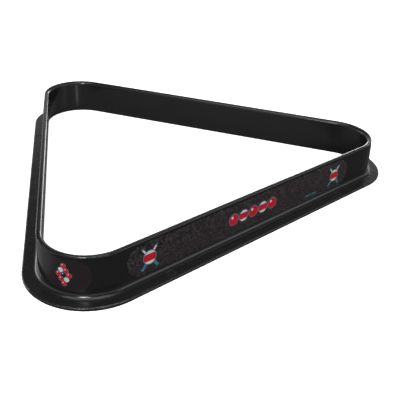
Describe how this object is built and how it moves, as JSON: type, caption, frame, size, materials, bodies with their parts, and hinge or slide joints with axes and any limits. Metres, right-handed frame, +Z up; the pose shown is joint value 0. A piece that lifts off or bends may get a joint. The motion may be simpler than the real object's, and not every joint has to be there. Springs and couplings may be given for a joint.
{
  "type": "billiard ball triangle rack",
  "caption": "Black plastic triangle rack for pool balls: rounded corners, upright wall with a rounded rim, flat outer flange and stick-on labels.",
  "frame": {"origin": "middle of the footprint's bounding box, on the surface the rack stands on", "axes": "+Z up; the flat front side faces -Y; +X runs along the front side to the right as seen from the front; the rear corner points along +Y"},
  "size_m": [0.3198, 0.2884, 0.03],
  "materials": {
    "black_plastic": "injection-moulded black plastic, satin gloss, faintly marked",
    "side_label_film": "printed vinyl with a fine dark grain",
    "corner_label_film": "plain dark printed vinyl, semi-matte",
    "ink_red": "red print on the labels",
    "ink_white": "white print on the labels",
    "ink_teal": "teal print on the labels",
    "ink_black": "black print on the labels"
  },
  "bodies": {
    "root": {"rack_body": "black_plastic", "front_side_label": "side_label_film", "rear_right_side_label": "side_label_film", "rear_left_side_label": "side_label_film", "front_left_corner_label": "corner_label_film", "front_right_corner_label": "corner_label_film", "rear_corner_label": "corner_label_film"}
  },
  "joints": []
}
